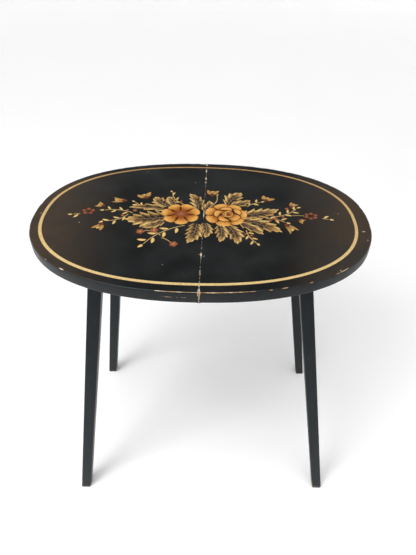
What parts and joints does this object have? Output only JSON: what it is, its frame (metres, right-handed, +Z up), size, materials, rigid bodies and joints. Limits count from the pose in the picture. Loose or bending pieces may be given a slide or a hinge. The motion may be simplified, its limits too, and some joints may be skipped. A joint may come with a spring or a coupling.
{
  "type": "folding side table",
  "caption": "Small oval folding side table in black lacquer: painted top in two hinged leaves, four tapered splayed legs, lift-centre fold.",
  "frame": {"origin": "on the floor below the middle of the seam between the two leaves", "axes": "+Z up, +X along the length of the oval top, +Y away from the front edge; the seam lies on the YZ plane"},
  "size_m": [0.524, 0.36, 0.566],
  "materials": {
    "top_lacquer": "black lacquer with painted gold ornament, satin, worn at the edges",
    "leg_lacquer": "black lacquer, satin",
    "under_lacquer": "thin black stain, matt",
    "dowel_wood": "bare beech",
    "zinc_steel": "zinc plated, dull",
    "brassed_steel": "brass plated, dull"
  },
  "bodies": {
    "legs_left": {"leg_left_front": "leg_lacquer", "leg_left_back": "leg_lacquer", "leg_rail_left": "under_lacquer", "link_lug_left": "zinc_steel", "lug_screw_left_1": "zinc_steel", "lug_screw_left_2": "zinc_steel", "link_pin_left": "zinc_steel", "rail_dowel_left_front_1": "dowel_wood", "rail_dowel_left_front_2": "dowel_wood", "rail_dowel_left_back_1": "dowel_wood", "rail_dowel_left_back_2": "dowel_wood"},
    "leaf_left": {"leaf_left": "top_lacquer", "seam_bracket_left_front": "brassed_steel", "seam_bracket_left_back": "brassed_steel", "leg_bracket_left_front": "zinc_steel", "leg_bracket_left_back": "zinc_steel", "leg_pin_left_front": "zinc_steel", "leg_pin_left_back": "zinc_steel", "seam_screw_left_front_1": "zinc_steel", "seam_screw_left_front_2": "zinc_steel", "seam_screw_left_back_1": "zinc_steel", "seam_screw_left_back_2": "zinc_steel", "leg_screw_left_front_1": "zinc_steel", "leg_screw_left_front_2": "zinc_steel", "leg_screw_left_back_1": "zinc_steel", "leg_screw_left_back_2": "zinc_steel"},
    "keel": {"keel_block": "under_lacquer", "seam_rod": "zinc_steel", "keel_stud_left": "zinc_steel", "keel_stud_right": "zinc_steel"},
    "leaf_right": {"leaf_right": "top_lacquer", "seam_bracket_right_front": "brassed_steel", "seam_bracket_right_back": "brassed_steel", "leg_bracket_right_front": "zinc_steel", "leg_bracket_right_back": "zinc_steel", "leg_pin_right_front": "zinc_steel", "leg_pin_right_back": "zinc_steel", "seam_screw_right_front_1": "zinc_steel", "seam_screw_right_front_2": "zinc_steel", "seam_screw_right_back_1": "zinc_steel", "seam_screw_right_back_2": "zinc_steel", "leg_screw_right_front_1": "zinc_steel", "leg_screw_right_front_2": "zinc_steel", "leg_screw_right_back_1": "zinc_steel", "leg_screw_right_back_2": "zinc_steel"},
    "legs_right": {"leg_right_front": "leg_lacquer", "leg_right_back": "leg_lacquer", "leg_rail_right": "under_lacquer", "link_lug_right": "zinc_steel", "lug_screw_right_1": "zinc_steel", "lug_screw_right_2": "zinc_steel", "link_pin_right": "zinc_steel", "rail_dowel_right_front_1": "dowel_wood", "rail_dowel_right_front_2": "dowel_wood", "rail_dowel_right_back_1": "dowel_wood", "rail_dowel_right_back_2": "dowel_wood"},
    "link_left": {"link_left": "zinc_steel"},
    "link_right": {"link_right": "zinc_steel"}
  },
  "joints": [
    {"name": "left_leaf_fold", "type": "hinge", "parent": "legs_left", "child": "leaf_left", "pos_m": [-0.153, 0, 0.533], "axis": [0, -1, 0], "range_deg": [0, 82]},
    {"name": "keel_fold", "type": "hinge", "parent": "leaf_left", "child": "keel", "pos_m": [0, 0, 0.536], "axis": [0, 1, 0], "range_deg": [0, 82]},
    {"name": "right_leaf_fold", "type": "hinge", "parent": "keel", "child": "leaf_right", "pos_m": [0, 0, 0.536], "axis": [0, 1, 0], "range_deg": [0, 82]},
    {"name": "right_legs_fold", "type": "hinge", "parent": "leaf_right", "child": "legs_right", "pos_m": [0.153, 0, 0.533], "axis": [0, -1, 0], "range_deg": [0, 82]},
    {"name": "left_link_swing", "type": "hinge", "parent": "keel", "child": "link_left", "pos_m": [0.00953, 0, 0.48885], "axis": [0, -1, 0], "range_deg": [0, 82]},
    {"name": "right_link_swing", "type": "hinge", "parent": "keel", "child": "link_right", "pos_m": [-0.00953, 0, 0.48885], "axis": [0, 1, 0], "range_deg": [0, 82]}
  ],
  "couplings": [
    {"joint": "keel_fold", "follows": "left_leaf_fold", "ratio": 1},
    {"joint": "right_leaf_fold", "follows": "left_leaf_fold", "ratio": 1},
    {"joint": "right_legs_fold", "follows": "left_leaf_fold", "ratio": 1},
    {"joint": "left_link_swing", "follows": "left_leaf_fold", "ratio": 1},
    {"joint": "right_link_swing", "follows": "left_leaf_fold", "ratio": 1}
  ]
}
